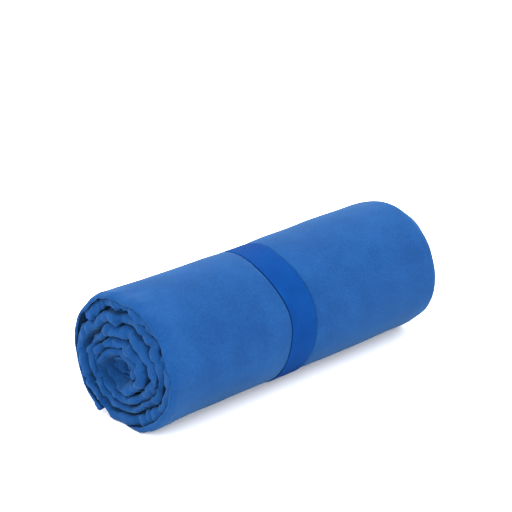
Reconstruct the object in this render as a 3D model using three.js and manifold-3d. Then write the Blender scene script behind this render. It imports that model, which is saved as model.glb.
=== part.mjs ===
// Quick dry towel, folded lengthwise into a six-layer pack, rolled up and held by an elastic band.
// Millimetres. X runs along the roll, Z is up, and the roll rests on its small flat at z = 0.
// The folded pack is one closed solid that follows the spiral of the roll. The outer layers of the
// pack run on past the inner ones as a thin flap, so the end of the roll shows two hems.
import * as THREE from 'three';
import { mergeVertices } from 'three/addons/utils/BufferGeometryUtils.js';
import Module from 'manifold-3d';

const wasm = await Module();
wasm.setup();

// Sizes of the finished roll
const ROLL_LENGTH = 218;
const ROLL_WIDTH = 82.4;
const ROLL_HEIGHT = 77.5;
const REST_HALF_ANGLE = 19;

// Folded pack of cloth
const LAYERS = 6;
const LAYER_PITCH = 1.05;
const LAY_GAP = 0.4;
const FLAP_LAYERS = 2;
const FLAP_THICKNESS = FLAP_LAYERS * 1.0;
const CORE_RADIUS = 5.2;
const RIM_SETBACK = 1.5;

// Hems
const HEM_WIDTH = 4;
const HEM_THICKNESS = 0.75;

// Elastic band
const BAND_WIDTH = 20;
const BAND_THICKNESS = 1.2;
const BAND_CENTRE_X = -6.8;
const BAND_SINK = 0.6;
const BAND_LAP = 20;
const TACK_WIDTH = 1.6;
const TACK_MARGIN = 1.8;
const TACK_PROUD = 0.3;

// Room left between neighbouring pieces
const CLEARANCE = 0.3;

// Clock positions of the loose end, the inner layers' end and the lap of the band, in degrees
// measured from +Y towards +Z
const FLAP_END_ANGLE = -48;
const INNER_END_TURN = 90;
const LAP_ANGLE = 0;

const STEP = 12;
const RAD = Math.PI / 180;
const TURN = 360;

const meanRadius = (ROLL_WIDTH + ROLL_HEIGHT) / 4;
const packPitch = LAYERS * LAYER_PITCH;
const packThickness = packPitch - LAY_GAP;

// The outline is an ellipse with its lowest part pressed flat
const halfWidth = ROLL_WIDTH / 2;
const flatRatio = Math.cos(REST_HALF_ANGLE * RAD);
const halfHeight = ROLL_HEIGHT / (1 + flatRatio);
const centreZ = halfHeight * flatRatio;

function smooth(value) {
  const t = Math.min(1, Math.max(0, value));
  return t * t * (3 - 2 * t);
}

function outlineRadius(angle) {
  const c = Math.cos(angle * RAD);
  const s = Math.sin(angle * RAD);
  const ellipse = 1 / Math.hypot(c / halfWidth, s / halfHeight);
  return s < 0 ? Math.min(ellipse, centreZ / -s) : ellipse;
}

// A point at a depth-adjusted radius: every wrap keeps the proportions of the outline
function rollPoint(x, radius, angle) {
  const r = radius * outlineRadius(angle) / meanRadius;
  return new THREE.Vector3(x, r * Math.cos(angle * RAD), centreZ + r * Math.sin(angle * RAD));
}

function arcDegrees(length, radius) {
  return length / radius / RAD;
}

const hemTurn = arcDegrees(HEM_WIDTH, meanRadius);
const gapTurn = arcDegrees(CLEARANCE, meanRadius);
const flapStart = hemTurn + gapTurn;
const innerHemTurn = arcDegrees(HEM_WIDTH, meanRadius - packPitch);
const flapRoom = FLAP_THICKNESS + LAY_GAP;
const hemStart = INNER_END_TURN - innerHemTurn - gapTurn;
const firstRamp = 24;
const rampSpread = 20;

// Room that a wrap takes from the one inside it, by the turn past the loose end. The two steps
// under the hems spread out from wrap to wrap, so the core stays round.
function layDepth(turn, wraps) {
  const ramp = firstRamp + rampSpread * (wraps - 1);
  const flapPart = flapRoom * smooth((turn + ramp) / ramp);
  const packPart = (packPitch - flapRoom) * smooth((turn - hemStart + ramp) / ramp);
  return flapPart + packPart;
}

function outerRadius(turn) {
  let radius = meanRadius;
  for (let wraps = 1; wraps * TURN < turn + TURN / 2; wraps += 1) {
    radius -= layDepth(turn - wraps * TURN, wraps);
  }
  return radius;
}

// The band presses a shallow waist into the roll, a little deeper under its lap
const lapTurn = arcDegrees(BAND_LAP, meanRadius);
const lapExtra = (BAND_THICKNESS + CLEARANCE) * 0.4;
const lapRamp = 15;

function nearLap(angle) {
  const away = Math.abs(((angle - LAP_ANGLE + 540) % TURN) - 180);
  return 1 - smooth((away - lapTurn / 2 - 2) / lapRamp);
}

function waistDepth(angle) {
  return BAND_SINK + BAND_THICKNESS + CLEARANCE + lapExtra * nearLap(angle);
}

function outerSink(turn) {
  const angle = FLAP_END_ANGLE + turn;
  if (turn > TURN + INNER_END_TURN) {
    return 0;
  }
  const above = flapRoom * smooth((turn - TURN + firstRamp) / firstRamp);
  return Math.max(0, waistDepth(angle) + above - (meanRadius - outerRadius(turn)));
}

function innerSink(turn) {
  return turn < INNER_END_TURN - gapTurn / 2 ? waistDepth(FLAP_END_ANGLE + turn) : 0;
}

// Positions along X of the two sides of the waist
const waistRamp = 1.2;
const waistHalf = BAND_WIDTH / 2 + CLEARANCE;

function sideWithWaist(radius, sink) {
  const low = BAND_CENTRE_X - waistHalf;
  const high = BAND_CENTRE_X + waistHalf;
  return [
    [low - waistRamp, radius],
    [low, radius - sink],
    [high, radius - sink],
    [high + waistRamp, radius],
  ];
}

function bead(x, outer, inner, direction) {
  const points = [];
  const half = (outer - inner) / 2;
  const mid = (outer + inner) / 2;
  const steps = 3;
  for (let i = 0; i <= steps; i += 1) {
    const a = 90 - 180 * i / steps;
    points.push([x - direction * half * (1 - Math.cos(a * RAD)), mid + half * Math.sin(a * RAD)]);
  }
  return points;
}

// Closed solid from matching outlines, each given as [x, radius] points at one angle
function sweep(sections) {
  const positions = [];
  const index = [];
  const count = sections[0].points.length;
  for (const section of sections) {
    for (const [x, radius] of section.points) {
      positions.push(...rollPoint(x, radius, section.angle).toArray());
    }
  }
  for (let s = 0; s + 1 < sections.length; s += 1) {
    for (let i = 0; i < count; i += 1) {
      const a = s * count + i;
      const b = s * count + (i + 1) % count;
      index.push(a, b, b + count);
      index.push(a, b + count, a + count);
    }
  }
  const last = (sections.length - 1) * count;
  const cap = (points) => THREE.ShapeUtils.triangulateShape(
    points.map(([x, radius]) => new THREE.Vector2(x, radius)), []);
  for (const [a, b, c] of cap(sections[0].points)) {
    index.push(a, b, c);
  }
  for (const [a, b, c] of cap(sections[sections.length - 1].points)) {
    index.push(last + a, last + c, last + b);
  }
  return outward(positions, index);
}

function signedVolume(positions, index) {
  const corner = (i) => new THREE.Vector3().fromArray(positions, i * 3);
  let volume = 0;
  for (let i = 0; i < index.length; i += 3) {
    const b = corner(index[i + 1]);
    volume += corner(index[i]).dot(b.cross(corner(index[i + 2])));
  }
  return volume / 6;
}

function outward(positions, index) {
  if (signedVolume(positions, index) < 0) {
    for (let i = 0; i < index.length; i += 3) {
      [index[i + 1], index[i + 2]] = [index[i + 2], index[i + 1]];
    }
  }
  const geometry = new THREE.BufferGeometry();
  geometry.setAttribute('position', new THREE.Float32BufferAttribute(positions, 3));
  geometry.setIndex(index);
  geometry.computeVertexNormals();
  return geometry;
}

function turnsBetween(start, end) {
  const turns = [start];
  for (let t = (Math.floor(start / STEP) + 1) * STEP; t < end - STEP / 4; t += STEP) {
    if (t - start > STEP / 4) {
      turns.push(t);
    }
  }
  turns.push(end);
  return turns;
}

function findCoreTurn() {
  let turn = TURN;
  while (outerRadius(turn + STEP) - packThickness / 2 > CORE_RADIUS) {
    turn += STEP;
  }
  return turn;
}

const coreTurn = findCoreTurn();
const coreHemTurn = arcDegrees(HEM_WIDTH, CORE_RADIUS);
const clothEndTurn = coreTurn - coreHemTurn - arcDegrees(CLEARANCE, CORE_RADIUS);

function endX(turn) {
  return ROLL_LENGTH / 2 - RIM_SETBACK * (1 - smooth((turn - TURN + 90) / 180));
}

// Towel cloth: the side hems take the inner third of the pack at the +X end
const sideHemDepth = 2 * (HEM_THICKNESS + CLEARANCE);

function clothSection(turn, thickness) {
  const outer = outerRadius(turn);
  const inner = outer - thickness;
  const tongue = thickness > FLAP_THICKNESS ? sideHemDepth : 0;
  const x = endX(turn);
  const hemX = x - HEM_WIDTH - CLEARANCE;
  const near = bead(-x, outer, inner, -1).reverse();
  const far = bead(x, outer, inner + tongue, 1);
  const top = sideWithWaist(outer, outerSink(turn));
  const bottom = sideWithWaist(inner, innerSink(turn)).reverse();
  const rebate = [[hemX, inner + tongue], [hemX - 0.4, inner]];
  return {
    angle: FLAP_END_ANGLE + turn,
    points: [...near, ...top, ...far, ...rebate, ...bottom],
  };
}

function towelCloth() {
  const flap = turnsBetween(flapStart, INNER_END_TURN - gapTurn);
  const pack = turnsBetween(INNER_END_TURN, clothEndTurn);
  return sweep([
    ...flap.map((turn) => clothSection(turn, FLAP_THICKNESS)),
    ...pack.map((turn) => clothSection(turn, packThickness)),
  ]);
}

// Overlocked hems that run along the roll
function hemSection(turn, outer, inner, topSink, bottomSink) {
  const x = endX(turn);
  const half = (outer - inner) / 4;
  const top = sideWithWaist(outer, topSink);
  const bottom = sideWithWaist(inner, bottomSink).reverse();
  const near = [[-x + half, inner], [-x, inner + half], [-x, outer - half], [-x + half, outer]];
  const far = [[x - half, outer], [x, outer - half], [x, inner + half], [x - half, inner]];
  return { angle: FLAP_END_ANGLE + turn, points: [...near, ...top, ...far, ...bottom] };
}

function flapHem() {
  const turns = [0, hemTurn / 2, hemTurn];
  return sweep(turns.map((turn) => {
    const outer = meanRadius;
    const sink = waistDepth(FLAP_END_ANGLE + turn);
    return hemSection(turn, outer, outer - FLAP_THICKNESS, sink, sink);
  }));
}

function innerLayersHem() {
  const end = INNER_END_TURN - 2 * gapTurn;
  const turns = [end - innerHemTurn, end - innerHemTurn / 2, end];
  return sweep(turns.map((turn) => {
    const outer = meanRadius - FLAP_THICKNESS - CLEARANCE;
    const sink = waistDepth(FLAP_END_ANGLE + turn);
    return hemSection(turn, outer, meanRadius - packThickness, sink, 0);
  }));
}

function coreHem() {
  const turns = [coreTurn - coreHemTurn, coreTurn - coreHemTurn / 2, coreTurn];
  return sweep(turns.map((turn) => {
    const outer = outerRadius(turn);
    return hemSection(turn, outer, outer - packThickness, 0, 0);
  }));
}

// Overlocked side hems: two spiral strips in the rebate at the +X end of the pack
function sideHem(row) {
  const lift = row * (HEM_THICKNESS + CLEARANCE);
  const turns = turnsBetween(INNER_END_TURN, clothEndTurn);
  return sweep(turns.map((turn) => {
    const inner = outerRadius(turn) - packThickness + lift;
    const x = endX(turn);
    const points = [
      [x - HEM_WIDTH, inner],
      [x - HEM_WIDTH, inner + HEM_THICKNESS],
      [x, inner + HEM_THICKNESS],
      [x, inner],
    ];
    return { angle: FLAP_END_ANGLE + turn, points };
  }));
}

// Elastic band: one strip round the waist, its ends lapped at the back
function bandInner(turn) {
  const start = 1 - smooth((turn - lapTurn) / lapRamp);
  const end = smooth((turn - TURN + lapRamp) / lapRamp);
  const rise = BAND_THICKNESS + CLEARANCE;
  return meanRadius - BAND_SINK - BAND_THICKNESS - lapExtra * start + (rise - lapExtra) * end;
}

function bandStrip() {
  const edge = 0.3;
  const turns = [];
  for (let t = 0; t < TURN + lapTurn - STEP / 8; t += STEP / 2) {
    turns.push(t);
  }
  turns.push(TURN + lapTurn);
  const low = BAND_CENTRE_X - BAND_WIDTH / 2;
  const high = BAND_CENTRE_X + BAND_WIDTH / 2;
  return sweep(turns.map((turn) => {
    const inner = bandInner(turn);
    const outer = inner + BAND_THICKNESS;
    const points = [
      [low + edge, inner], [low, inner + edge], [low, outer - edge], [low + edge, outer],
      [high - edge, outer], [high, outer - edge], [high, inner + edge], [high - edge, inner],
    ];
    return { angle: LAP_ANGLE - lapTurn / 2 + turn, points };
  }));
}

// Bar tacks: thick stitched bars through both layers of the lap, near its two ends
const tackLength = BAND_WIDTH - 2 * TACK_MARGIN;
const tackTurn = arcDegrees(BAND_LAP * 0.6, meanRadius);
const lapInner = meanRadius - BAND_SINK - BAND_THICKNESS - lapExtra;
const lapOuter = lapInner + 2 * BAND_THICKNESS + CLEARANCE;

function stadium(length, width, depth) {
  const half = length / 2 - width / 2;
  const shape = new THREE.Shape();
  shape.absarc(half, 0, width / 2, -Math.PI / 2, Math.PI / 2, false);
  shape.absarc(-half, 0, width / 2, Math.PI / 2, 3 * Math.PI / 2, false);
  return new THREE.ExtrudeGeometry(shape, { depth, bevelEnabled: false, curveSegments: 4 });
}

function tackGeometry(side, grow, inner, outer) {
  const angle = LAP_ANGLE + side * tackTurn / 2;
  const stretch = outlineRadius(angle) / meanRadius;
  const depth = (outer - inner) * stretch;
  const geometry = stadium(tackLength + 2 * grow, TACK_WIDTH + 2 * grow, depth);
  geometry.rotateX(-Math.PI / 2);
  geometry.translate(BAND_CENTRE_X, inner * stretch, 0);
  geometry.rotateX(angle * RAD);
  geometry.translate(0, 0, centreZ);
  return geometry;
}

function toManifold(geometry) {
  const bare = geometry.clone();
  bare.deleteAttribute('normal');
  bare.deleteAttribute('uv');
  const merged = mergeVertices(bare, 1e-4);
  return new wasm.Manifold(new wasm.Mesh({
    numProp: 3,
    vertProperties: new Float32Array(merged.attributes.position.array),
    triVerts: new Uint32Array(merged.index.array),
  }));
}

function fromManifold(solid) {
  const mesh = solid.getMesh();
  const geometry = new THREE.BufferGeometry();
  geometry.setAttribute('position', new THREE.BufferAttribute(mesh.vertProperties, 3));
  geometry.setIndex(new THREE.BufferAttribute(mesh.triVerts, 1));
  geometry.computeVertexNormals();
  return geometry;
}

function elasticBand() {
  let band = toManifold(bandStrip());
  for (const side of [-1, 1]) {
    const slot = tackGeometry(side, CLEARANCE, lapInner - 3, lapOuter + 3);
    band = band.subtract(toManifold(slot));
  }
  return fromManifold(band);
}

function barTack(side) {
  return tackGeometry(side, 0, lapInner + CLEARANCE / 2, lapOuter + TACK_PROUD);
}

const microfibre = { color: 0x3470b8, roughness: 0.9, metalness: 0 };
const overlock = { color: 0x2058a8, roughness: 0.8, metalness: 0 };
const webbing = { color: 0x184fb0, roughness: 0.75, metalness: 0 };
const thread = { color: 0x1646a0, roughness: 0.7, metalness: 0 };

const towel = new THREE.Group();
towel.name = 'quick_dry_towel';

function add(name, geometry, look) {
  const mesh = new THREE.Mesh(geometry, new THREE.MeshStandardMaterial({ name, ...look }));
  mesh.name = name;
  towel.add(mesh);
}

add('towel_cloth', towelCloth(), microfibre);
add('flap_end_overlock', flapHem(), overlock);
add('inner_layers_overlock', innerLayersHem(), overlock);
add('core_end_overlock', coreHem(), overlock);
add('side_edge_overlock_1', sideHem(0), overlock);
add('side_edge_overlock_2', sideHem(1), overlock);
add('elastic_band', elasticBand(), webbing);
add('band_bar_tack_1', barTack(-1), thread);
add('band_bar_tack_2', barTack(1), thread);

export default towel;
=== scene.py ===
"""Quick dry towel: microfibre cloth folded in six along its length, rolled up, held by an elastic.

The towel is one sheet of cloth. Its fold profile across the roll is swept along the spiral of the
roll. The near end is then crumpled by bending the space round it, so that neighbouring layers move
together. Shapes are worked out in millimetres about the axis of the roll, which lies along X, and
turned into metres when a mesh is made.

An angle is in degrees round the roll, from +Y towards +Z. A turn is how far the spiral has wound
inwards from the outer end of the cloth, in degrees. Right, up and the clock angle at the near end
are as seen from outside it, looking along +X.
"""
import math
from types import SimpleNamespace

import bpy
import numpy as np
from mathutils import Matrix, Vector


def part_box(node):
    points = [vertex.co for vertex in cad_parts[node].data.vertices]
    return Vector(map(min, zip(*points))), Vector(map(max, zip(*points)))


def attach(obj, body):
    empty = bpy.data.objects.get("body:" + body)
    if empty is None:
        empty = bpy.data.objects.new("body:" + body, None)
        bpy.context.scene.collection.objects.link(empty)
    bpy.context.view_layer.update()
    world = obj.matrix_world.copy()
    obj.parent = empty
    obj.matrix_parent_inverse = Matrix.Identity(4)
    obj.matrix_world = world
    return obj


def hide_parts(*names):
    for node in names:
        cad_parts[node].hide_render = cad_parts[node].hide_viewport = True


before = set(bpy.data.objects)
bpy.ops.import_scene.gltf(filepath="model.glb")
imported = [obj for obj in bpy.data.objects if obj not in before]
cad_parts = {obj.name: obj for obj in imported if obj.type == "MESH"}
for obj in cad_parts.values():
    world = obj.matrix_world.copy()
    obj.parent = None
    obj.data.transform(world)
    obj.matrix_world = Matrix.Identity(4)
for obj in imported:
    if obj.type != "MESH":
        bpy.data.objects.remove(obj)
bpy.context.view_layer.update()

MM = 0.001
TURN = 360.0


def box_in_mm(node):
    return [np.array(corner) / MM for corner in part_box(node)]


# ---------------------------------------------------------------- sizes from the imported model

cloth_low, cloth_high = box_in_mm("towel_cloth")
band_low, band_high = box_in_mm("elastic_band")

NEAR_X = cloth_low[0]
FAR_X = cloth_high[0]
LENGTH = FAR_X - NEAR_X
HALF_WIDTH = (cloth_high[1] - cloth_low[1]) / 2
ROLL_HEIGHT = cloth_high[2]
FLAT_HALF_ANGLE = 19.0
FLAT_RATIO = math.cos(math.radians(FLAT_HALF_ANGLE))
HALF_HEIGHT = ROLL_HEIGHT / (1 + FLAT_RATIO)
CENTRE_Z = HALF_HEIGHT * FLAT_RATIO
MEAN_RADIUS = (2 * HALF_WIDTH + ROLL_HEIGHT) / 4

# Towel: cut size, fold and lay
LAYERS = 6
LAYER_PITCH = 1.05
PACK_PITCH = LAYERS * LAYER_PITCH
FLAP_ROOM = 2 * LAYER_PITCH
CORE_RADIUS = 5.2
LEAST_RADIUS = 0.4
COLUMN_SPACING = 1.25
TIGHTEST_COLUMNS = 3.0

# Turns at which the flap and the inner layers start, at the near and the far end of the roll
FLAP_START = (-11.0, 24.0)
INNER_START = (84.0, 36.0)
FLAP_END_ANGLE = -48.0

# The next wrap climbs over each start along a ramp, longer on every wrap further in
FIRST_RAMP = 24.0
RAMP_SPREAD = 20.0
INNER_LEAD = 4.0
MOST_WRAPS = 7

# Floor: smallest height of the cloth's middle, and the height over which it eases to that
FLOOR_GAP = 0.08
FLOOR_EASE = 1.4

# Elastic
BAND_THICKNESS = 1.2
BAND_SINK = 0.6
BAND_LAP = 20.0
BAND_CENTRE = (band_low[0] + band_high[0]) / 2
BAND_HALF = (band_high[0] - band_low[0]) / 2
RIBS = 15
RIB_HEIGHT = 0.14


# ---------------------------------------------------------------- small tools

HASH_FACTORS = (374761393, 668265263, 2147483647, 974634777)
HASH_MIXER = 1274126177


def smooth(t):
    t = np.clip(t, 0.0, 1.0)
    return t * t * (3 - 2 * t)


def bell(offset, reach):
    """1 where offset is 0, and nearly 0 from twice the reach on."""
    return np.exp(-(offset / reach) ** 2)


def fall_off(distance, reach):
    """1 up to distance 0, and nearly 0 from three times the reach on."""
    return np.exp(-(np.maximum(distance, 0) / reach) ** 1.5)


def unit(v):
    return v / np.maximum(np.linalg.norm(v, axis=-1, keepdims=True), 1e-9)


def path_lengths(path):
    steps = np.linalg.norm(np.diff(path, axis=0), axis=-1)
    return np.concatenate([np.zeros_like(steps[:1]), np.cumsum(steps, axis=0)])


def hashed(ix, iy, iz, seed):
    """A repeatable number from -1 to 1 for each lattice corner."""
    n = sum(value * factor for value, factor in zip((ix, iy, iz, seed), HASH_FACTORS))
    n = (n ^ (n >> 13)) * HASH_MIXER
    n = n ^ (n >> 16)
    return (n & 0xFFFF) / 32767.5 - 1.0


def lattice_noise(points, wavelength, seed):
    """Smooth noise from -1 to 1 at points of shape (..., 3)."""
    scaled = points / wavelength
    cell = np.floor(scaled).astype(np.int64)
    f = scaled - cell
    u = f * f * f * (f * (f * 6 - 15) + 10)
    total = np.zeros(scaled.shape[:-1])
    for dx in (0, 1):
        wx = u[..., 0] if dx else 1 - u[..., 0]
        for dy in (0, 1):
            wy = u[..., 1] if dy else 1 - u[..., 1]
            for dz in (0, 1):
                wz = u[..., 2] if dz else 1 - u[..., 2]
                corner = hashed(cell[..., 0] + dx, cell[..., 1] + dy, cell[..., 2] + dz, seed)
                total += wx * wy * wz * corner
    return total


def ridged_noise(points, wavelength, seed):
    """Noise from -1 to 1 with sharp crests."""
    return 1 - 2 * np.abs(lattice_noise(points, wavelength, seed))


def on_circle(radius, angle):
    """Y and Z about the axis of the roll."""
    return radius * np.cos(np.radians(angle)), radius * np.sin(np.radians(angle))


def outline_radius(angle):
    """The roll's outline: an ellipse with a flat where it rests on the floor."""
    c, s = on_circle(1.0, angle)
    ellipse = 1 / np.hypot(c / HALF_WIDTH, s / HALF_HEIGHT)
    return np.where(s < 0, np.minimum(ellipse, CENTRE_Z / np.maximum(-s, 1e-6)), ellipse)


def pressed_to_outline(radius, angle):
    """Y and Z of a point of a round roll, once the roll is pressed to its outline."""
    return on_circle(radius * outline_radius(angle) / MEAN_RADIUS, angle)


def scaled_across(points, scale):
    """Moves points towards or away from the axis of the roll."""
    return points * np.stack([np.ones_like(scale), scale, scale], -1)


def new_mesh(name, points_mm, faces, material, body):
    mesh = bpy.data.meshes.new(name)
    points = np.asarray(points_mm, float).reshape(-1, 3) * MM
    faces = np.asarray(faces, np.int32)
    mesh.vertices.add(len(points))
    mesh.vertices.foreach_set("co", points.astype(np.float32).ravel())
    sides = faces.shape[1]
    mesh.loops.add(faces.size)
    mesh.loops.foreach_set("vertex_index", faces.ravel())
    mesh.polygons.add(len(faces))
    mesh.polygons.foreach_set("loop_start", np.arange(len(faces), dtype=np.int32) * sides)
    mesh.update(calc_edges=True)
    mesh.validate()
    mesh.polygons.foreach_set("use_smooth", np.full(len(mesh.polygons), True))
    mesh.materials.append(material)
    piece = bpy.data.objects.new(name, mesh)
    bpy.context.scene.collection.objects.link(piece)
    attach(piece, body)
    return piece


def grid_faces(rows, columns, close_rows=False):
    """Quads of a grid of points stored row by row."""
    r = np.arange(rows if close_rows else rows - 1)
    c = np.arange(columns - 1)
    r, c = np.meshgrid(r, c, indexing="ij")
    r2, c2 = (r + 1) % rows, c + 1
    quads = [r * columns + c, r2 * columns + c, r2 * columns + c2, r * columns + c2]
    return np.stack(quads, -1).reshape(-1, 4)


# ---------------------------------------------------------------- spiral of the roll

def mixed(ends, x):
    """Goes from the first of ends at the near end of the roll to the second at the far end."""
    return ends[0] + (ends[1] - ends[0]) * np.clip((x - NEAR_X) / LENGTH, 0.0, 1.0)


def lay_depth(turn, wraps, x):
    """Thickness of the pack at a turn, as the wrap that many wraps further in feels it."""
    ramp = FIRST_RAMP + RAMP_SPREAD * (wraps - 1)
    flap = smooth((turn - mixed(FLAP_START, x) + ramp) / ramp)
    inner = smooth((turn - mixed(INNER_START, x) + INNER_LEAD + ramp) / ramp)
    return FLAP_ROOM * flap + (PACK_PITCH - FLAP_ROOM) * inner


def outer_radius(turn, x):
    """Radius of the outer face of the pack, before its outline is pressed out of round."""
    radius = np.full(np.broadcast(turn, x).shape, MEAN_RADIUS)
    for wraps in range(1, MOST_WRAPS + 1):
        outside = turn - wraps * TURN
        radius = radius - np.where(outside > -TURN / 2, lay_depth(outside, wraps, x), 0.0)
    return radius


def middle_radius(turn, x):
    return outer_radius(turn, x) - PACK_PITCH / 2


def core_turn():
    """The turn at which the pack reaches the core."""
    step = 12
    turn = TURN
    while middle_radius(np.array(turn + step), np.array(0.0)) > CORE_RADIUS:
        turn += step
    return turn


CORE_TURN = core_turn()

# ---------------------------------------------------------------- waist under the elastic

LAP_TURN = math.degrees(BAND_LAP / MEAN_RADIUS)
LAP_GAP = 0.3
LAP_RISE = BAND_THICKNESS + LAP_GAP
LAP_RAMP = 15.0
LAP_MARGIN = 2.0

# The lap is pressed into the cloth by this share of its rise
LAP_EXTRA = LAP_RISE * 0.4

# Where an edge of the elastic bends along the roll: angle, reach (degrees), shift (mm)
EDGE_BENDS = {
    -1: ((125, 42, -1.7), (163, 28, 2.8), (66, 26, 2.6), (242, 28, 3.2)),
    1: ((125, 42, -0.5), (168, 34, 1.4), (110, 16, -1.0), (70, 24, 1.6), (242, 28, 2.2)),
}

# The waist: room under the elastic, depth at which it has died out, how far its walls stand
# outside the elastic and how wide they are, and how far the cloth beside it dips on each side
WAIST_GAP = 0.5
WAIST_DEPTH = 13.0
NEAR_WALL_OUT, NEAR_WALL_WIDTH = 0.9, 1.0
FAR_WALL_OUT, FAR_WALL_WIDTH = 0.7, 0.9
NEAR_DIP, FAR_DIP, DIP_REACH = 0.55, 0.95, 6.0


def near_lap(angle):
    """1 where the elastic is doubled by its lap, which is centred on angle 0."""
    away = np.abs((angle + 540) % TURN - 180)
    return 1 - smooth((away - LAP_TURN / 2 - LAP_MARGIN) / LAP_RAMP)


def band_edge(side, angle):
    """X of the elastic's edge, side -1 or 1: it wanders a little round the roll."""
    a = np.radians(angle)
    wander = 0.45 * np.sin(a + 0.6) + 0.25 * np.sin(2 * a + 2.0)
    for centre, reach, shift in EDGE_BENDS[side]:
        wander = wander + shift * bell(angle % TURN - centre, reach)
    return BAND_CENTRE + side * BAND_HALF + wander


def waist(x, angle):
    """How far the cloth is pressed in by the elastic, in mm."""
    under = BAND_SINK + BAND_THICKNESS + WAIST_GAP + LAP_EXTRA * near_lap(angle)
    left, right = band_edge(-1, angle), band_edge(1, angle)
    outside = np.maximum(np.maximum(left - x, x - right), 0)
    dip = np.where(x < BAND_CENTRE, NEAR_DIP, FAR_DIP) * np.exp(-outside / DIP_REACH)
    near_wall = smooth((x - left + NEAR_WALL_OUT) / NEAR_WALL_WIDTH)
    far_wall = smooth((right - x + FAR_WALL_OUT) / FAR_WALL_WIDTH)
    walls = near_wall * far_wall
    return dip * (1 - walls) + under * walls


# ---------------------------------------------------------------- crumpled ends

# Radius of the fold lines of the near end at the hours 12, 1, 2 ... 11 of a clock face, in mm,
# for the rim, the flap's line and the next two wraps, and where the even spiral would put them
EVEN_LINES = (MEAN_RADIUS, 37.9, 33.4, 27.2)
RIM_LINE = (40.4, 39.8, 40.2, 41.0, 40.2, 40.2, 40.8, 41.4, 40.8, 40.2, 40.4, 41.2)
FLAP_LINE = (37.4, 36.2, 36.9, 38.4, 36.5, 36.2, 38.2, 39.1, 38.7, 38.1, 38.4, 38.6)
SECOND_LINE = (30.8, 29.6, 30.8, 30.8, 30.0, 29.6, 31.8, 32.8, 32.8, 32.4, 32.0, 31.2)
THIRD_LINE = (22.6, 22.0, 22.8, 24.8, 25.0, 25.0, 26.8, 26.2, 26.0, 25.0, 24.2, 24.8)

# The core follows the third line by this share at this radius, and past the rim nothing more moves
CORE_LINE, CORE_FOLLOWS = 12.0, 0.45
WELL_OUTSIDE = 60.0

# Local pushes at the near end: clock angle, radius, push outwards, push clockwise, reach (mm)
PUSHES = (
    (86, 38.4, 2.9, 0.8, 4.6),
    (3, 35.0, -1.6, 0.8, 3.5),
    (-12, 30.0, -2.0, 1.8, 4.0),
    (-16, 24.5, -2.4, 2.0, 4.5),
    (50, 30.5, 1.8, 0.8, 4.5),
    (80, 31.5, 1.8, -0.8, 4.5),
    (96, 24.0, 2.8, 0.4, 4.0),
    (112, 24.2, 2.8, 0.8, 3.6),
    (140, 31.0, -2.0, 1.2, 5.0),
    (158, 33.0, -1.8, 0.4, 4.5),
    (226, 33.0, 1.2, 1.4, 4.5),
    (252, 31.5, -1.6, 1.0, 4.0),
    (284, 34.5, -1.2, 1.4, 4.0),
    (312, 33.0, -1.0, -1.2, 4.5),
)

# How high and how thick the skin is, in which the crumples grow from their share on it to all
SKIN_OVER, SKIN_BLEND = 2.0, 6.0
PUSH_ON_SKIN, SOFT_ON_SKIN, SHARP_ON_SKIN, FAR_ON_SKIN = 0.4, 0.2, 0.15, 0.3

# The pressed core: the radius it starts at and blends over, how it leans, widens and flattens
CORE_OUT, CORE_BLEND = 24.0, 17.0
CORE_LEAN = 13.0
CORE_WIDEN, CORE_FLATTEN = 0.28, 0.42

# It sags to the left and down, from a radius on and over a blend
CORE_SHIFT = (-10.0, -9.0)
SAG_OUT, SAG_BLEND = 27.0, 24.0

# Its crumples are this much stronger, and this much calmer on the side that it sags to
ROUGH_OUT, ROUGH_BLEND = 26.0, 12.0
ROUGHER, CALMER = 0.2, 0.65
CALM_MARGIN = 0.3

# Noise that crumples an end: wavelength, height (mm), seed
SOFT_CRUMPLES = ((17.0, 1.9, 3), (8.5, 0.8, 11), (4.4, 0.28, 23))
SHARP_CREASES = ((13.0, 1.7, 31), (7.5, 0.85, 35), (4.6, 0.36, 39))
FAR_CRUMPLES = ((14.0, 1.3, 91), (7.0, 0.45, 95))
PLEAT_WAVELENGTH, PLEAT_HEIGHT, PLEAT_SEED = 6.5, 0.9, 49

# Crumples are longer along the roll, pleats much longer, and short ones stay close to the end
CRUMPLE_STRETCH = 0.45
PLEAT_STRETCH = np.array([0.3, 1, 1])
LONG_WAVELENGTH = 10.0

# How far from an end its crumples reach along the roll
NEAR_REACH, CLOSE_REACH, FAR_REACH = 26.0, 15.0, 20.0

# Where the near end is hollow or stands out: right, up, reach right, reach up, depth (mm)
HOLLOW = (-9.5, -9.5, 10.0, 7.5, 13.0)
TONGUE = (13.0, -8.0, 9.0, 4.5, -2.6)
HOLLOW_REACH = 12.0
HOLLOW_EDGE, HOLLOW_BLEND = 1.3, 0.8


def at_clock(values, clock):
    """Periodic smooth interpolation of twelve hourly values."""
    hour = (clock / 30.0) % 12
    k = np.floor(hour).astype(int)
    f = smooth(hour - k)
    v = np.array(values)
    return v[k % 12] * (1 - f) + v[(k + 1) % 12] * f


def rearrange_wraps(radius, clock):
    """Moves the even wraps of the spiral to the uneven ones that show at the near end."""
    rim, first, second, third = (
        at_clock(line, clock) - even
        for line, even in zip((RIM_LINE, FLAP_LINE, SECOND_LINE, THIRD_LINE), EVEN_LINES))
    knots = (0.0, CORE_LINE) + EVEN_LINES[::-1] + (WELL_OUTSIDE,)
    shifts = (0 * rim, CORE_FOLLOWS * third, third, second, first, rim, rim)
    moved = radius.copy()
    for low, high, shift_low, shift_high in zip(knots, knots[1:], shifts, shifts[1:]):
        inside = (radius >= low) & (radius < high)
        t = (radius - low) / (high - low)
        moved = np.where(inside, radius + shift_low + (shift_high - shift_low) * t, moved)
    return moved


def rotate_plane(right, up, degrees):
    c, s = math.cos(math.radians(degrees)), math.sin(math.radians(degrees))
    return right * c - up * s, right * s + up * c


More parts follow.
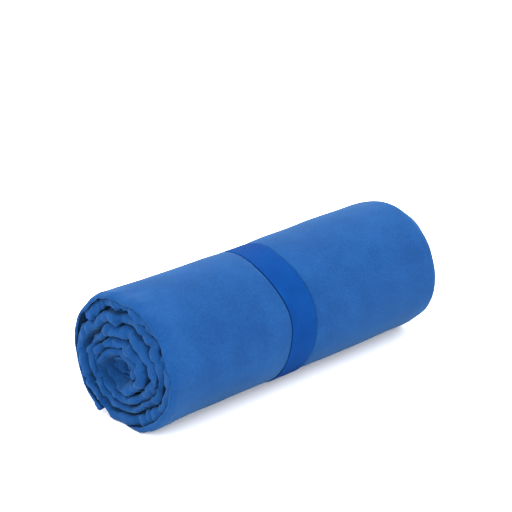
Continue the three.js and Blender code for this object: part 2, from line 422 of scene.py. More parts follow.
def push_locally(right, up, share):
    """Makes the chosen bends of the fold beads."""
    for clock, radius, out, turn, reach in PUSHES:
        a = math.radians(clock)
        away = (right - radius * math.sin(a)) ** 2 + (up - radius * math.cos(a)) ** 2
        fall = np.exp(-away / reach ** 2) * share
        right = right + fall * (out * math.sin(a) + turn * math.cos(a))
        up = up + fall * (out * math.cos(a) - turn * math.sin(a))
    return right, up


def press_core(right, up, radius, near):
    """Presses the core flat, so that it leans up to the right and sags."""
    core = smooth((CORE_OUT - radius) / CORE_BLEND) * near
    wide, tall = rotate_plane(right, up, -CORE_LEAN)
    wide, tall = wide * (1 + CORE_WIDEN * core), tall * (1 - CORE_FLATTEN * core)
    right, up = rotate_plane(wide, tall, CORE_LEAN)
    aside = np.clip((SAG_OUT - radius) / SAG_BLEND, 0, 1) * near
    return right + CORE_SHIFT[0] * aside, up + CORE_SHIFT[1] * aside


def core_strength(right, up, radius):
    """Crumples are stronger in the core, but weaker where it is pressed against the wraps."""
    towards_sag = -(right - CORE_SHIFT[0] + up - CORE_SHIFT[1]) / np.maximum(radius, 3)
    extra = ROUGHER - CALMER * smooth(towards_sag + CALM_MARGIN)
    return 1 + extra * smooth((ROUGH_OUT - radius) / ROUGH_BLEND)


def from_skin(share_on_skin, below_skin):
    """Strength of a crumple that has only a share of it on the skin."""
    return share_on_skin + (1 - share_on_skin) * below_skin


def crumple(points):
    """Bends the space of both ends. points are (..., 3) in mm about the axis of the roll."""
    x, right, up = points[..., 0], -points[..., 1], points[..., 2]
    depth = x - NEAR_X
    near, close = fall_off(depth, NEAR_REACH), fall_off(depth, CLOSE_REACH)
    radius = np.hypot(right, up)
    clock = np.degrees(np.arctan2(right, up))
    below_skin = smooth((MEAN_RADIUS + SKIN_OVER - radius) / SKIN_BLEND)

    moved = radius + (rearrange_wraps(radius, clock) - radius) * near
    scale = moved / np.maximum(radius, 1e-6)
    push_share = close * from_skin(PUSH_ON_SKIN, below_skin)
    right, up = push_locally(right * scale, up * scale, push_share)
    right, up = press_core(right, up, radius, near)

    here = np.stack([x * CRUMPLE_STRETCH, right, up], -1)
    strength = core_strength(right, up, radius)
    for wavelength, height, seed in SOFT_CRUMPLES:
        reached = near if wavelength > LONG_WAVELENGTH else close
        share = reached * height * from_skin(SOFT_ON_SKIN, below_skin) * strength
        right = right + share * lattice_noise(here, wavelength, seed)
        up = up + share * lattice_noise(here, wavelength, seed + 1)
    for wavelength, height, seed in SHARP_CREASES:
        share = close * height * from_skin(SHARP_ON_SKIN, below_skin) * strength
        right = right + share * (ridged_noise(here, wavelength, seed) - 0.5)
        up = up + share * (ridged_noise(here, wavelength, seed + 1) - 0.5)
    # The far end is much neater
    far = fall_off(FAR_X - x, FAR_REACH) * from_skin(FAR_ON_SKIN, below_skin)
    for wavelength, height, seed in FAR_CRUMPLES:
        right = right + far * height * lattice_noise(here, wavelength, seed)
        up = up + far * height * lattice_noise(here, wavelength, seed + 1)

    pleats = ridged_noise(here * PLEAT_STRETCH, PLEAT_WAVELENGTH, PLEAT_SEED)
    fading = np.exp(-np.maximum(depth, 0) / HOLLOW_REACH)
    x = x + PLEAT_HEIGHT * pleats * close * below_skin
    for at_right, at_up, reach_right, reach_up, amount in (HOLLOW, TONGUE):
        away = np.hypot((right - at_right) / reach_right, (up - at_up) / reach_up)
        x = x + amount * smooth((HOLLOW_EDGE - away) / HOLLOW_BLEND) * fading
    return np.stack([x, -right, up], -1)


# Rounded rims: how far the skin is tucked in at an end, over which length and down to which depth
RIM_TUCK, RIM_DEPTH = 2.3, 9.0
NEAR_RIM, FAR_RIM, FAR_RIM_OUT = 6.0, 6.5, 1.2


def round_rims(points, below, x):
    """Tucks the skin in where the roll turns over into its two ends."""
    near_rim = (1 - smooth((x - NEAR_X) / NEAR_RIM)) ** 2
    far_rim = (1 - smooth((FAR_X + FAR_RIM_OUT - x) / FAR_RIM)) ** 2
    tuck = RIM_TUCK * (near_rim + far_rim) * np.clip(1 - below / RIM_DEPTH, 0, 1)
    radius = np.hypot(points[..., 1], points[..., 2])
    return scaled_across(points, 1 - tuck / np.maximum(radius, 5))


# Creases of the skin by the near end: distance from the end, angle, half length (degrees), depth
CREASES = ((4.5, 218, 24, 0.35), (11.0, 228, 20, 0.30), (19.0, 240, 15, 0.25), (7.5, 158, 16, 0.22))
CREASE_WIDTH = 1.3
CREASE_SLANT = 0.07

# A swell of the skin towards the far end: X, reach along the roll, angle, reach in degrees, height
SWELL = (68.0, 26.0, 104.0, 40.0, 1.3)

# Slow waves of the skin: wavelength, height, seed. They are longer along the roll, fade out
# below the skin over a radius and a blend, and are calmer near the elastic
WAVES = ((26.0, 0.40, 61), (11.0, 0.14, 63))
WAVE_STRETCH = np.array([0.55, 1.0, 1.0])
WAVES_IN, WAVES_BLEND = 20.0, 14.0
CALM_REACH, CALM_SHARE = 16.0, 0.25

# The skin stands this much proud, but is pressed in low down, away from the near end
FULLNESS, PRESSED_BELOW = 0.45, 0.95
INLAND_FROM, INLAND_BLEND = 5.0, 26.0
LOW_FROM, LOW_BLEND = 12.0, 18.0


def soften(points):
    """Slow waves, a swell and faint creases of the cloth all over the roll."""
    x, y, z = points[..., 0], points[..., 1], points[..., 2]
    radius = np.hypot(y, z)
    angle = np.degrees(np.arctan2(z, y)) % TURN
    outer = smooth((radius - WAVES_IN) / WAVES_BLEND)
    off_band = 1 - bell(x - BAND_CENTRE, CALM_REACH)
    slow = sum(lattice_noise(points * WAVE_STRETCH, wavelength, seed) * height
               for wavelength, height, seed in WAVES)
    inland = smooth((x - NEAR_X - INLAND_FROM) / INLAND_BLEND)
    fullness = FULLNESS - PRESSED_BELOW * inland * smooth((-z - LOW_FROM) / LOW_BLEND)
    swell_x, reach_x, swell_angle, reach_angle, height = SWELL
    swell = height * bell(x - swell_x, reach_x) * bell(angle - swell_angle, reach_angle)
    push = (slow + fullness) * (CALM_SHARE + (1 - CALM_SHARE) * off_band) + swell
    for distance, centre, reach, crease_depth in CREASES:
        lane = NEAR_X + distance + (angle - centre) * CREASE_SLANT
        push = push - crease_depth * bell(x - lane, CREASE_WIDTH) * bell(angle - centre, reach)
    return scaled_across(points, 1 + push * outer / np.maximum(radius, 5))


def settle(points):
    """Moves points from the axis of the roll to the floor frame and keeps them above it."""
    z = points[..., 2] + CENTRE_Z
    eased_below = FLOOR_GAP + FLOOR_EASE
    eased = FLOOR_GAP + FLOOR_EASE * np.exp((z - eased_below) / FLOOR_EASE)
    z = np.where(z < eased_below, eased, z)
    return np.stack([points[..., 0], points[..., 1], z], -1)


def roll_points(turn, x, depth):
    """Places points given by turn, x and depth below the pack's outer face."""
    radius = outer_radius(turn, x) - depth
    angle = turn + FLAP_END_ANGLE
    below = MEAN_RADIUS - radius
    radius = radius - waist(x, angle) * np.clip(1 - below / WAIST_DEPTH, 0, 1)
    y, z = pressed_to_outline(np.maximum(radius, LEAST_RADIUS), angle)
    points = crumple(np.stack([x, y, z], -1))
    return settle(soften(round_rims(points, below, x)))


# ---------------------------------------------------------------- fold profile of the towel

# The towel from hem to hem: its flat layers, numbered from 1 outermost, and the folds between them.
# The first layer runs towards the near end, the next one away from it, and so on.
FOLD_ORDER = (6, "near_out", 3, "far_in", 2, "near_flap", 1, "far_out", 4, "near_in", 5)
ARC_STEPS = {"near_out": 9, "far_in": 3, "near_flap": 5, "far_out": 7, "near_in": 5}
FLAP_LAYERS = (1, 2)

# Shapes of the folds, in mm, or as a share of the fat fold's radius
OUTER_FOLD = 1.5 * LAYER_PITCH
INNER_TIP = 1.2 * LAYER_PITCH
HEM_PROUD = 0.8
INNER_FOLD_SHARE = 0.55
FLAP_PUFF_OUT, FLAP_PUFF_IN = 0.15, 0.2
PUFF_REACH = 7.0
LEAST_SETBACK = 0.3

# The flap shows outside everything up to this turn, and is out of sight after the fade
FIRST_TURN_END, FIRST_TURN_FADE = 300.0, 40.0

# Over this far from the far end the flap and the inner layers come to start at one turn, and over
# this many turns after the start the columns come to lie straight along the roll
FAR_BLEND = 40.0
STRAIGHT_FROM = 220.0


def layer_depth(layer):
    """Depth of a layer's middle below the outer face of the pack."""
    return (layer - 0.5) * LAYER_PITCH


def between(layer, other):
    return (layer_depth(layer) + layer_depth(other)) / 2


def inner_shares():
    """Samples along an inner layer, 0 at the near fold and 1 at the far one."""
    return np.concatenate([
        np.linspace(0, 0.09, 13),
        np.linspace(0.12, 0.88, 9),
        np.linspace(0.91, 1, 9)])


def skin_shares():
    """Samples along the outermost layer, closer together at the walls of the waist."""
    left = (BAND_CENTRE - BAND_HALF - NEAR_X) / LENGTH
    right = (BAND_CENTRE + BAND_HALF - NEAR_X) / LENGTH
    edge = 3.2 / LENGTH
    return np.concatenate([
        np.linspace(0, 0.08, 16),
        np.linspace(0.09, left - 1.2 * edge, 30),
        np.linspace(left - edge, left + edge, 13),
        np.linspace(left + 1.3 * edge, right - 1.3 * edge, 6),
        np.linspace(right - edge, right + edge, 11),
        np.linspace(right + 1.2 * edge, 0.92, 36),
        np.linspace(0.93, 1, 10)])


def fold_samples():
    """Samples across the towel, hem to hem, as (kind, layer, value).

    Kind "panel" is a flat layer, where value is the share of its way from the near fold to the far
    one. The other kinds are folds, where value is the angle of the arc, 0 to 180 degrees.
    """
    samples = []
    towards_near = True
    for part in FOLD_ORDER:
        if part in ARC_STEPS:
            angles = np.linspace(0, 180, ARC_STEPS[part] + 2)[1:-1]
            samples.extend((part, 0, angle) for angle in angles)
            continue
        shares = skin_shares() if part == 1 else inner_shares()
        if towards_near:
            shares = shares[::-1]
        samples.extend(("panel", part, share) for share in shares)
        towards_near = not towards_near
    return samples


def turn_grid():
    """Turns of the columns, about evenly spaced along the cloth."""
    turns = [0.0]
    while turns[-1] < CORE_TURN:
        radius = float(middle_radius(np.array(turns[-1]), np.array(0.0)))
        turns.append(turns[-1] + math.degrees(COLUMN_SPACING / max(radius, TIGHTEST_COLUMNS)))
    return np.array(turns)


def first_turn_share(turn):
    """1 on the outer turn of the roll, where the flap lies outside everything, 0 further in."""
    return 1 - smooth((turn - FIRST_TURN_END) / FIRST_TURN_FADE)


def end_spots(turn, x, offset):
    """Where the columns cross an end of the roll, as points for noise, and their radius there."""
    centre = middle_radius(turn, np.full_like(turn, x))
    y, z = on_circle(centre, turn + FLAP_END_ANGLE)
    return np.stack([np.full_like(turn, offset), y, z], -1), centre


def near_setbacks(turn):
    """Set-back from the near end of the flap's fold and of the fat fold, for each column."""
    spot, centre = end_spots(turn, NEAR_X, 5.0)
    wave = lattice_noise(spot, 13.0, 41) + 0.5 * lattice_noise(spot, 6.0, 43)
    core = smooth((20 - centre) / 13) * (1 + 0.9 * lattice_noise(spot, 11.0, 47))
    fat = 2.3 + 2.5 * wave + 0.8 * ridged_noise(spot, 5.5, 45) + 4.0 * core
    # Beside the flap the second wrap comes forward and the flap is tucked back
    fat = fat - 2.2 * bell(turn - 405, 60)
    tucked = 1.8 * bell(turn - 40, 50)
    first = first_turn_share(turn)
    flap = first * (1.2 + 0.7 * wave + tucked) + (1 - first) * (fat + 6.0)
    return np.maximum(flap, LEAST_SETBACK), np.maximum(fat, LEAST_SETBACK)


def far_setbacks(turn):
    """Set-back of the far folds from the far end, for each column."""
    spot, _ = end_spots(turn, FAR_X, 90.0)
    wave = lattice_noise(spot, 15.0, 51) + 0.4 * lattice_noise(spot, 7.0, 53)
    return 0.9 * wave - 1.3


def column_shapes(turn):
    """Shape of the folds at each column: their tips along the roll, radii and puffs.

    The fat fold joins layers 3 and 6 round layers 4 and 5, and puffs outwards and inwards.
    """
    first = first_turn_share(turn)
    flap_setback, fat_setback = near_setbacks(turn)
    along_cloth = np.arange(len(turn)) * COLUMN_SPACING
    pinch = ridged_noise(np.stack([turn * 0, along_cloth, turn * 0], -1), 4.6, 71)
    pinch = 0.55 * pinch - 0.2
    puff_out = 0.25 + (1.75 + pinch) * (1 - first)
    puff_in = 0.25 + 0.6 * pinch + 1.7 * bell(turn, 22)
    return SimpleNamespace(
        first=first,
        flap_tip=NEAR_X + flap_setback,
        fat_tip=NEAR_X + fat_setback,
        far_tip=FAR_X - far_setbacks(turn),
        flap_radius=LAYER_PITCH / 2 + first * (0.35 + 0.55 * bell(turn - 40, 65)),
        fat_radius=(layer_depth(6) - layer_depth(3)) / 2 + (puff_out + puff_in) / 2,
        fat_middle=between(3, 6) - (puff_out - puff_in) / 2,
        puff_out=puff_out,
        puff_in=puff_in)


def panel_place(shape, layer, share):
    """X and depth below the outer face of a point of a flat layer."""
    if layer in FLAP_LAYERS:
        start = shape.flap_tip + shape.flap_radius
    elif layer in (3, 6):
        start = shape.fat_tip + shape.fat_radius
    else:
        start = shape.fat_tip + INNER_FOLD_SHARE * shape.fat_radius + LAYER_PITCH / 2
    if layer in (5, 6):
        end = shape.far_tip + HEM_PROUD
    else:
        end = shape.far_tip - (OUTER_FOLD if layer in (1, 4) else INNER_TIP)
    x = start + (end - start) * share
    puff = {1: -FLAP_PUFF_OUT * shape.first, 2: FLAP_PUFF_IN * shape.first,
            3: -shape.puff_out, 6: shape.puff_in}.get(layer, 0.0)
    return x, layer_depth(layer) + puff * np.exp(-np.maximum(x - start, 0) / PUFF_REACH)


def fold_place(shape, kind, angle):
    """X and depth below the outer face of a point of a fold's arc."""
    c, s = math.cos(math.radians(angle)), math.sin(math.radians(angle))
    half = LAYER_PITCH / 2
    if kind == "near_out":
        return shape.fat_tip + shape.fat_radius * (1 - s), shape.fat_middle + shape.fat_radius * c
    if kind == "near_in":
        tip = shape.fat_tip + INNER_FOLD_SHARE * shape.fat_radius
        return tip + half * (1 - s), between(4, 5) - half * c
    if kind == "near_flap":
        return shape.flap_tip + shape.flap_radius * (1 - s), between(1, 2) + shape.flap_radius * c
    if kind == "far_out":
        return shape.far_tip - OUTER_FOLD * (1 - s), between(1, 4) - OUTER_FOLD * c
    return shape.far_tip - INNER_TIP + 0.9 * half * s, between(2, 3) + half * c


def towel_grid(samples):
    """Turn, x and depth of every point of the sheet, and which rows belong to the flap."""
    base = turn_grid()
    shape = column_shapes(base)
    x = np.zeros((len(samples), len(base)))
    depth = np.zeros_like(x)
    for row, (kind, layer, value) in enumerate(samples):
        if kind == "panel":
            x[row], depth[row] = panel_place(shape, layer, value)
        else:
            x[row], depth[row] = fold_place(shape, kind, value)

    on_flap = np.array([kind == "near_flap" or layer in FLAP_LAYERS for kind, layer, _ in samples])
    far_fold = np.array([kind.startswith("far") for kind, _, _ in samples])
    start = np.where(on_flap[:, None], mixed(FLAP_START, x), mixed(INNER_START, x))
    far_start = (FLAP_START[1] + INNER_START[1]) / 2
    blend_in = smooth((x - FAR_X + FAR_BLEND) / FAR_BLEND)
    start = start * (1 - blend_in) + far_start * blend_in
    start = np.where(far_fold[:, None], far_start, start)
    turn = base[None, :] + start * np.clip(1 - base[None, :] / STRAIGHT_FROM, 0, 1)
    return turn, x, depth, on_flap[:, None]


# Fine wrinkles: wavelength, height, seed, how far they reach along the roll, and how much their
# pattern is stretched across the cloth
WRINKLES = ((4.2, 0.42, 81), (2.9, 0.18, 83))
WRINKLE_REACH = 10.0
WRINKLE_STRETCH = 0.22


def wrinkle(points, x, amount):
    """Fine wrinkles that run across the fold beads of the near end."""
    normal = unit(np.cross(np.gradient(points, axis=1), np.gradient(points, axis=0)))
    along_cloth = np.broadcast_to(np.arange(points.shape[1]) * COLUMN_SPACING, x.shape)
    across_cloth = path_lengths(points[:, :1]) * WRINKLE_STRETCH
    spot = np.stack([np.broadcast_to(across_cloth, x.shape), along_cloth, 0 * x], -1)
    lift = np.zeros_like(x)
    for wavelength, height, seed in WRINKLES:
        lift += height * (ridged_noise(spot, wavelength, seed) - 0.5)
    return points + normal * (lift * fall_off(x - NEAR_X, WRINKLE_REACH) * amount)[..., None]


# ---------------------------------------------------------------- materials

SUEDE_COLORS = [
    (0.34, (0.0030, 0.0280, 0.099, 1)),
    (0.50, (0.0039, 0.0322, 0.109, 1)),
    (0.66, (0.0052, 0.0370, 0.121, 1)),
]
NAP_SHADES = [(0.36, (0.45, 0.58, 0.70, 1)), (0.64, (1, 1, 1, 1))]
SUEDE_SHEEN = (0.30, 0.66, 1.0, 1)
OVERLOCK_COLORS = [(0.3, (0.003, 0.024, 0.090, 1)), (0.7, (0.010, 0.048, 0.165, 1))]
TACK_COLORS = [(0.3, (0.001, 0.013, 0.075, 1)), (0.7, (0.003, 0.024, 0.115, 1))]
THREAD_SHEEN = (0.2, 0.6, 1, 1)
ELASTIC_COLORS = [(0.3, (0.0007, 0.0200, 0.095, 1)), (0.7, (0.0011, 0.0260, 0.114, 1))]
FLOOR_COLORS = [(0, (0.83, 0.83, 0.83, 1)), (1, (0.87, 0.87, 0.87, 1))]


def principled(name, roughness, sheen=0.0, sheen_roughness=0.4, sheen_tint=(1, 1, 1, 1),
               specular=0.1):
    material = bpy.data.materials.new(name)
    material.use_nodes = True
    nodes, links = material.node_tree.nodes, material.node_tree.links
    shader = nodes["Principled BSDF"]
    shader.inputs["Roughness"].default_value = roughness
    shader.inputs["Sheen Weight"].default_value = sheen
    shader.inputs["Sheen Roughness"].default_value = sheen_roughness
    shader.inputs["Sheen Tint"].default_value = sheen_tint
    shader.inputs["Specular IOR Level"].default_value = specular
    place = nodes.new("ShaderNodeTexCoord").outputs["Object"]
    return material, nodes, links, shader, place


def noise_node(nodes, links, vector, scale, detail, roughness=0.55):
    node = nodes.new("ShaderNodeTexNoise")
    node.inputs["Scale"].default_value = scale
    node.inputs["Detail"].default_value = detail
    node.inputs["Roughness"].default_value = roughness
    links.new(vector, node.inputs["Vector"])
    return node.outputs["Fac"]


def ramp_node(nodes, links, value, stops):
    node = nodes.new("ShaderNodeValToRGB")
    ramp = node.color_ramp
    ramp.elements[0].position, ramp.elements[0].color = stops[0]
    ramp.elements[1].position, ramp.elements[1].color = stops[-1]
    for position, color in stops[1:-1]:
        ramp.elements.new(position).color = color
    links.new(value, node.inputs["Fac"])
    return node.outputs["Color"]


def bump_chain(nodes, links, shader, layers):
    """layers: (height socket, strength, distance in metres)."""
    previous = None
    for height, strength, distance in layers:
        bump = nodes.new("ShaderNodeBump")
        bump.inputs["Strength"].default_value = strength
        bump.inputs["Distance"].default_value = distance
        links.new(height, bump.inputs["Height"])
        if previous is not None:
            links.new(previous, bump.inputs["Normal"])
        previous = bump.outputs["Normal"]
    links.new(previous, shader.inputs["Normal"])


def stretched_vector(nodes, links, place, scale):
    node = nodes.new("ShaderNodeMapping")
    node.inputs["Scale"].default_value = scale
    links.new(place, node.inputs["Vector"])
    return node.outputs["Vector"]


def suede_material():
    """Brushed microfibre: slow mottling, fine nap and a soft sheen."""
    material, nodes, links, shader, place = principled(
        "suede_microfibre", 0.92, sheen=0.07, sheen_roughness=0.5, sheen_tint=SUEDE_SHEEN,
        specular=0.05)
    mottled = noise_node(nodes, links, place, 48, 6, 0.62)
    nap = noise_node(nodes, links, place, 900, 3, 0.6)
    strokes = stretched_vector(nodes, links, place, (60, 420, 420))
    brushed = noise_node(nodes, links, strokes, 1.0, 3, 0.6)
    mix = nodes.new("ShaderNodeMix")
    mix.data_type = "RGBA"
    mix.blend_type = "MULTIPLY"
    mix.inputs["Factor"].default_value = 0.5
    links.new(ramp_node(nodes, links, mottled, SUEDE_COLORS), mix.inputs["A"])
    links.new(ramp_node(nodes, links, nap, NAP_SHADES), mix.inputs["B"])
    links.new(mix.outputs["Result"], shader.inputs["Base Color"])
    rough = nodes.new("ShaderNodeMapRange")
    rough.inputs["To Min"].default_value = 0.82
    rough.inputs["To Max"].default_value = 1.0
    links.new(mottled, rough.inputs["Value"])
    links.new(rough.outputs["Result"], shader.inputs["Roughness"])
    bump_chain(nodes, links, shader, [
        (mottled, 0.35, 0.0004),
        (brushed, 0.25, 0.00012),
        (nap, 0.35, 0.00010),
    ])
    return material


def thread_material(name, colors, scale):
    """Twisted sewing thread."""
    material, nodes, links, shader, place = principled(
        name, 0.75, sheen=0.03, sheen_tint=THREAD_SHEEN, specular=0.03)
    strands = noise_node(nodes, links, place, scale, 2)
    links.new(ramp_node(nodes, links, strands, colors), shader.inputs["Base Color"])
    bump_chain(nodes, links, shader, [(strands, 0.5, 0.00015)])
    return material


def webbing_material():
    """Woven elastic: fine yarn and a slightly cloudy colour. The ribs are in the mesh."""
    material, nodes, links, shader, place = principled("woven_elastic", 0.7, specular=0.02)
    yarn = noise_node(nodes, links, place, 1500, 2)
    cloudy = noise_node(nodes, links, place, 60, 3)
    links.new(ramp_node(nodes, links, cloudy, ELASTIC_COLORS), shader.inputs["Base Color"])
    bump_chain(nodes, links, shader, [(yarn, 0.45, 0.00012)])
    return material


suede = suede_material()
overlock_thread = thread_material("overlock_thread", OVERLOCK_COLORS, 1600)
tack_thread = thread_material("tack_thread", TACK_COLORS, 1800)
woven_elastic = webbing_material()

# ---------------------------------------------------------------- the towel

samples = fold_samples()
towel_turn, towel_x, towel_depth, on_flap = towel_grid(samples)
smoothness = on_flap * first_turn_share(towel_turn)
towel_points = roll_points(towel_turn, towel_x, towel_depth)
towel_points = wrinkle(towel_points, towel_x, 1 - 0.8 * smoothness)
rows, columns = towel_turn.shape
towel = new_mesh("rolled_towel", towel_points, grid_faces(rows, columns), suede,
                 "roll")
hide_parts("towel_cloth")

# ---------------------------------------------------------------- overlocked hems

STITCH_PITCH = 1.35
STEPS_PER_STITCH = 4
STITCH_RIDGE = 0.2
STITCH_SLANT = 0.9
HEM_COLUMNS = 8

# Section of the overlock: distance in from the cut edge as a share of its width, and height
# above the cloth as a share of its half thickness, from one face round the edge to the other
OVERLOCK_HALF = [(1.0, 0.30), (0.85, 0.8), (0.6, 1.0), (0.35, 1.0), (0.12, 1.0), (-0.08, 0.6)]
OVERLOCK_SECTION = OVERLOCK_HALF + [(-0.13, 0.0)] + [(u, -v) for u, v in OVERLOCK_HALF[::-1]]


def resampled(lengths, values, at):
    """Values (n, 3) along lengths (n,), at new lengths."""
    return np.stack([np.interp(at, lengths, values[:, k]) for k in range(3)], -1)


def section_lines(patch, width):
    """Lines along a hem on which the rows of its overlock stand. patch is (inward, along, xyz)."""
    reach = path_lengths(patch)
    inward = unit(patch[1] - patch[0])
    lines = []
    for u, _ in OVERLOCK_SECTION:
        if u <= 0:
            lines.append(patch[0] + inward * u * width)
        else:
            lines.append(np.concatenate([
                resampled(reach[:, n], patch[:, n], [u * width]) for n in range(patch.shape[1])]))
    return np.stack(lines, 0), inward


def overlock(name, cloth, replaced, width=3.8, half_thickness=0.6):
    """Threads wrapped round a cut edge. cloth is a patch of the sheet, (along, inward, xyz)."""
    lengths = path_lengths(cloth[:, 0])
    steps = max(int(lengths[-1] * STEPS_PER_STITCH / STITCH_PITCH), STEPS_PER_STITCH)
    at = np.linspace(0, lengths[-1], steps + 1)
    patch = np.stack([resampled(lengths, cloth[:, m], at) for m in range(cloth.shape[1])], 0)
    base_line, inward = section_lines(patch, width)
    tangent = unit(np.gradient(base_line, axis=1))
    half = len(OVERLOCK_HALF)
    across = np.gradient(base_line[:half + 1], axis=0)
    across = np.concatenate([across, across[:half][::-1]], 0)
    normal = unit(np.cross(tangent, -across))
    phase = 2 * np.pi * at / STITCH_PITCH
    points = []
    for k, (u, v) in enumerate(OVERLOCK_SECTION):
        slant = 2 * np.pi * STITCH_SLANT * (k / (len(OVERLOCK_SECTION) - 1) - 0.5)
        ridge = STITCH_RIDGE * np.cos(phase + slant)
        lift = v * half_thickness + np.sign(v) * ridge * (u < 0.95)
        rounding = inward * (ridge * (u < 0))[:, None]
        points.append(base_line[k] + normal[k] * lift[:, None] - rounding)
    piece = new_mesh(name, np.stack(points, 0), grid_faces(len(points), len(at)),
                     overlock_thread, "roll")
    if replaced:
        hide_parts(*replaced)
    return piece


def hem_along_roll(name, wanted, at_start, replaced, width=3.8):
    """Overlock on the cut edge that runs along the roll, for the panels and folds in wanted."""
    chosen = [i for i, (kind, layer, _) in enumerate(samples) if (kind, layer) in wanted]
    inward = range(HEM_COLUMNS) if at_start else range(columns - 1, columns - 1 - HEM_COLUMNS, -1)
    return overlock(name, towel_points[np.ix_(chosen, list(inward))], replaced, width)


hems = [
    hem_along_roll("flap_hem_outer", {("panel", 1)}, True, ["flap_end_overlock"]),
    hem_along_roll("flap_hem_inner", {("panel", 2), ("near_flap", 0)}, True, [], width=4.6),
    hem_along_roll("inner_hem_3", {("panel", 3)}, True, ["inner_layers_overlock"]),
    hem_along_roll("inner_hem_4", {("panel", 4)}, True, []),
    hem_along_roll("inner_hem_5", {("panel", 5)}, True, []),
    hem_along_roll("inner_hem_6", {("panel", 6), ("near_out", 0)}, True, [], width=7.2),
    hem_along_roll("core_hem_2", {("panel", 2)}, False, ["core_end_overlock"]),
    hem_along_roll("core_hem_5", {("panel", 5)}, False, []),
]
for name, inward, node in (("side_hem_1", (0, 1, 2), "side_edge_overlock_1"),
                           ("side_hem_2", (-1, -2, -3), "side_edge_overlock_2")):
    edge_patch = np.swapaxes(towel_points[list(inward)], 0, 1)
    hems.append(overlock(name, edge_patch, [node], half_thickness=0.5))

# ---------------------------------------------------------------- elastic band

BAND_STEP = 0.9
POINTS_PER_RIB = 6
BAND_SHOULDER = 0.72
BAND_EDGE_SHARE = 0.045
BAND_FACE_END = 0.992

# Zigzag of the tacks: swings across the lap, thread radius and how far its ends dip (mm)
TACK_SWINGS = 46
TACK_STEPS = 4
TACK_WIDTH_SHARE = 0.42
TACK_THREAD = 0.2
TACK_SINK = 0.15
TACK_DIP = 0.35


def band_inner(turn):
    """Radius of the elastic's inner face: it starts under its lap and ends on top of it."""
    start = 1 - smooth((turn - LAP_TURN) / LAP_RAMP)
    end = smooth((turn - TURN + LAP_RAMP) / LAP_RAMP)
    sunk = MEAN_RADIUS - BAND_SINK - BAND_THICKNESS
    return sunk - LAP_EXTRA * start + (LAP_RISE - LAP_EXTRA) * end


def band_section():
    """Outline of the elastic as (share across -1..1, height 0..1, rib) going all the way round."""
    outline = []
    count = RIBS * POINTS_PER_RIB
    for k in range(count + 1):
        s = -1 + 2 * k / count
        rib = 0.5 - 0.5 * math.cos(2 * math.pi * k / POINTS_PER_RIB)
        edge = min(1.0, (1 - abs(s)) / BAND_EDGE_SHARE)
        height = BAND_SHOULDER + (1 - BAND_SHOULDER) * math.sqrt(edge)
        outline.append((s * BAND_FACE_END, height, rib * min(1.0, edge)))
    for s in (1.0, BAND_FACE_END, 0.6, 0.0, -0.6, -BAND_FACE_END, -1.0):
        outline.append((s, 0.5 if abs(s) == 1.0 else 0.0, 0.0))
    return outline


def elastic():
    turns = np.arange(0, TURN + LAP_TURN + 0.1, BAND_STEP)
    angle = turns - LAP_TURN / 2
    inner = band_inner(turns)
    points = []
    for s, height, rib in band_section():
        x = (band_edge(-1, angle) * (1 - s) + band_edge(1, angle) * (1 + s)) / 2
        radius = inner + height * (BAND_THICKNESS - RIB_HEIGHT) + rib * RIB_HEIGHT
        y, z = pressed_to_outline(radius, angle)
        points.append(np.stack([x, y, z + CENTRE_Z], -1))
    points = np.stack(points, 0)
    faces = grid_faces(points.shape[0], points.shape[1], close_rows=True)
    piece = new_mesh("ribbed_elastic", points, faces, woven_elastic, "band")
    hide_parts("elastic_band")
    return piece


def tube(path, radius, sides):
    path = np.asarray(path, float)
    tangent = unit(np.gradient(path, axis=0))
    side = unit(np.cross(tangent, np.array([0.0, 1.0, 0.0])))
    other = np.cross(side, tangent)
    rings = []
    for k in range(sides):
        a = 2 * math.pi * k / sides
        rings.append(path + radius * (math.cos(a) * side + math.sin(a) * other))
    return np.stack(rings, 0)


def bar_tack(name, node):
    """A dense zigzag of thread across the lap of the elastic."""
    low, high = box_in_mm(node)
    middle_z = (low[2] + high[2]) / 2
    path = []
    for t in np.linspace(0, 1, TACK_SWINGS * TACK_STEPS + 1):
        swing = math.sin(2 * math.pi * t * TACK_SWINGS)
        path.append((low[0] + (high[0] - low[0]) * t,
                     high[1] - TACK_SINK - TACK_DIP * swing ** 2,
                     middle_z + swing * (high[2] - low[2]) * TACK_WIDTH_SHARE))
    points = tube(path, TACK_THREAD, sides=5)
    piece = new_mesh(name, points, grid_faces(points.shape[0], points.shape[1], close_rows=True),
                     tack_thread, "band")
    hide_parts(node)


band = elastic()
bar_tack("zigzag_tack_1", "band_bar_tack_1")
bar_tack("zigzag_tack_2", "band_bar_tack_2")

# ---------------------------------------------------------------- floor, light and camera

FLOOR_SIZE = 6.0
WORLD_COLOR = (0.92, 0.95, 1.0, 1)
WORLD_STRENGTH = 2.8

# Area lights: name, position, target, size (m) and energy (W)
LIGHTS = (
    ("overhead_softbox", (0.0, 0.35, 1.3), (0, 0, 0.03), (1.6, 1.2), 26),
    ("left_fill", (-1.2, -0.5, 0.7), (0, 0, 0.04), (0.9, 0.9), 14),
    ("front_fill", (0.35, -1.5, 0.45), (0.02, 0, 0.04), (1.2, 0.7), 14),
)

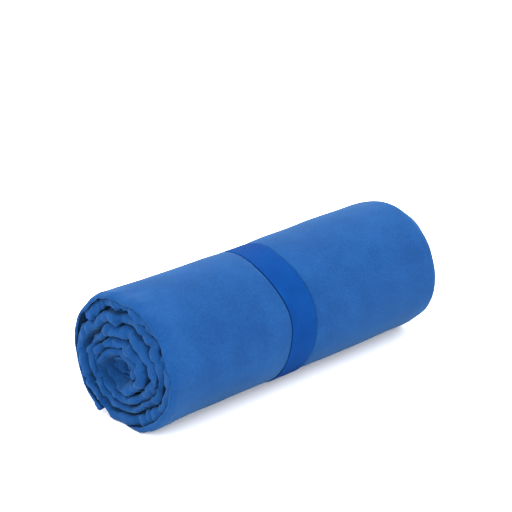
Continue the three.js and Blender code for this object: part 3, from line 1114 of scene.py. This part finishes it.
# The camera's angles in degrees, its distance in metres, its sensor and lens in millimetres, and
# how far the picture is shifted, as a share of its width
AZIMUTH, ELEVATION = -44.83, 22.87
DISTANCE = 1.1364
SENSOR = 36.0
FOCAL_LENGTH = 138.375
SHIFT = (-0.010098, 0.103516)


def pointed(item, position, direction):
    item.location = position
    item.rotation_euler = direction.to_track_quat("-Z", "Y").to_euler()
    bpy.context.scene.collection.objects.link(item)


def floor_plane():
    material, nodes, links, shader, place = principled("studio_white", 0.9)
    grain = noise_node(nodes, links, place, 3.0, 2)
    links.new(ramp_node(nodes, links, grain, FLOOR_COLORS), shader.inputs["Base Color"])
    corners = [(-1, -1), (1, -1), (1, 1), (-1, 1)]
    mesh = bpy.data.meshes.new("studio_floor")
    mesh.from_pydata([(FLOOR_SIZE * x, FLOOR_SIZE * y, 0) for x, y in corners], [], [(0, 1, 2, 3)])
    mesh.materials.append(material)
    floor = bpy.data.objects.new("studio_floor", mesh)
    bpy.context.scene.collection.objects.link(floor)


def studio():
    floor_plane()
    world = bpy.data.worlds.new("studio_world")
    world.use_nodes = True
    background = world.node_tree.nodes["Background"]
    background.inputs["Color"].default_value = WORLD_COLOR
    background.inputs["Strength"].default_value = WORLD_STRENGTH
    bpy.context.scene.world = world
    for name, position, target, size, energy in LIGHTS:
        data = bpy.data.lights.new(name, "AREA")
        data.shape = "RECTANGLE"
        data.size, data.size_y = size
        data.energy = energy
        light = bpy.data.objects.new(name, data)
        pointed(light, position, Vector(target) - Vector(position))


def camera():
    a, e = math.radians(AZIMUTH), math.radians(ELEVATION)
    back = Vector((math.sin(a) * math.cos(e), -math.cos(a) * math.cos(e), math.sin(e)))
    target = Vector((0, 0, ROLL_HEIGHT / 2 * MM))
    data = bpy.data.cameras.new("photo_camera")
    data.sensor_width = SENSOR
    data.lens = FOCAL_LENGTH
    data.shift_x, data.shift_y = SHIFT
    data.clip_start, data.clip_end = 0.05, 30
    view = bpy.data.objects.new("photo_camera", data)
    pointed(view, target + back * DISTANCE, -back)
    bpy.context.scene.camera = view


studio()
camera()
bpy.context.scene.view_settings.view_transform = "Standard"
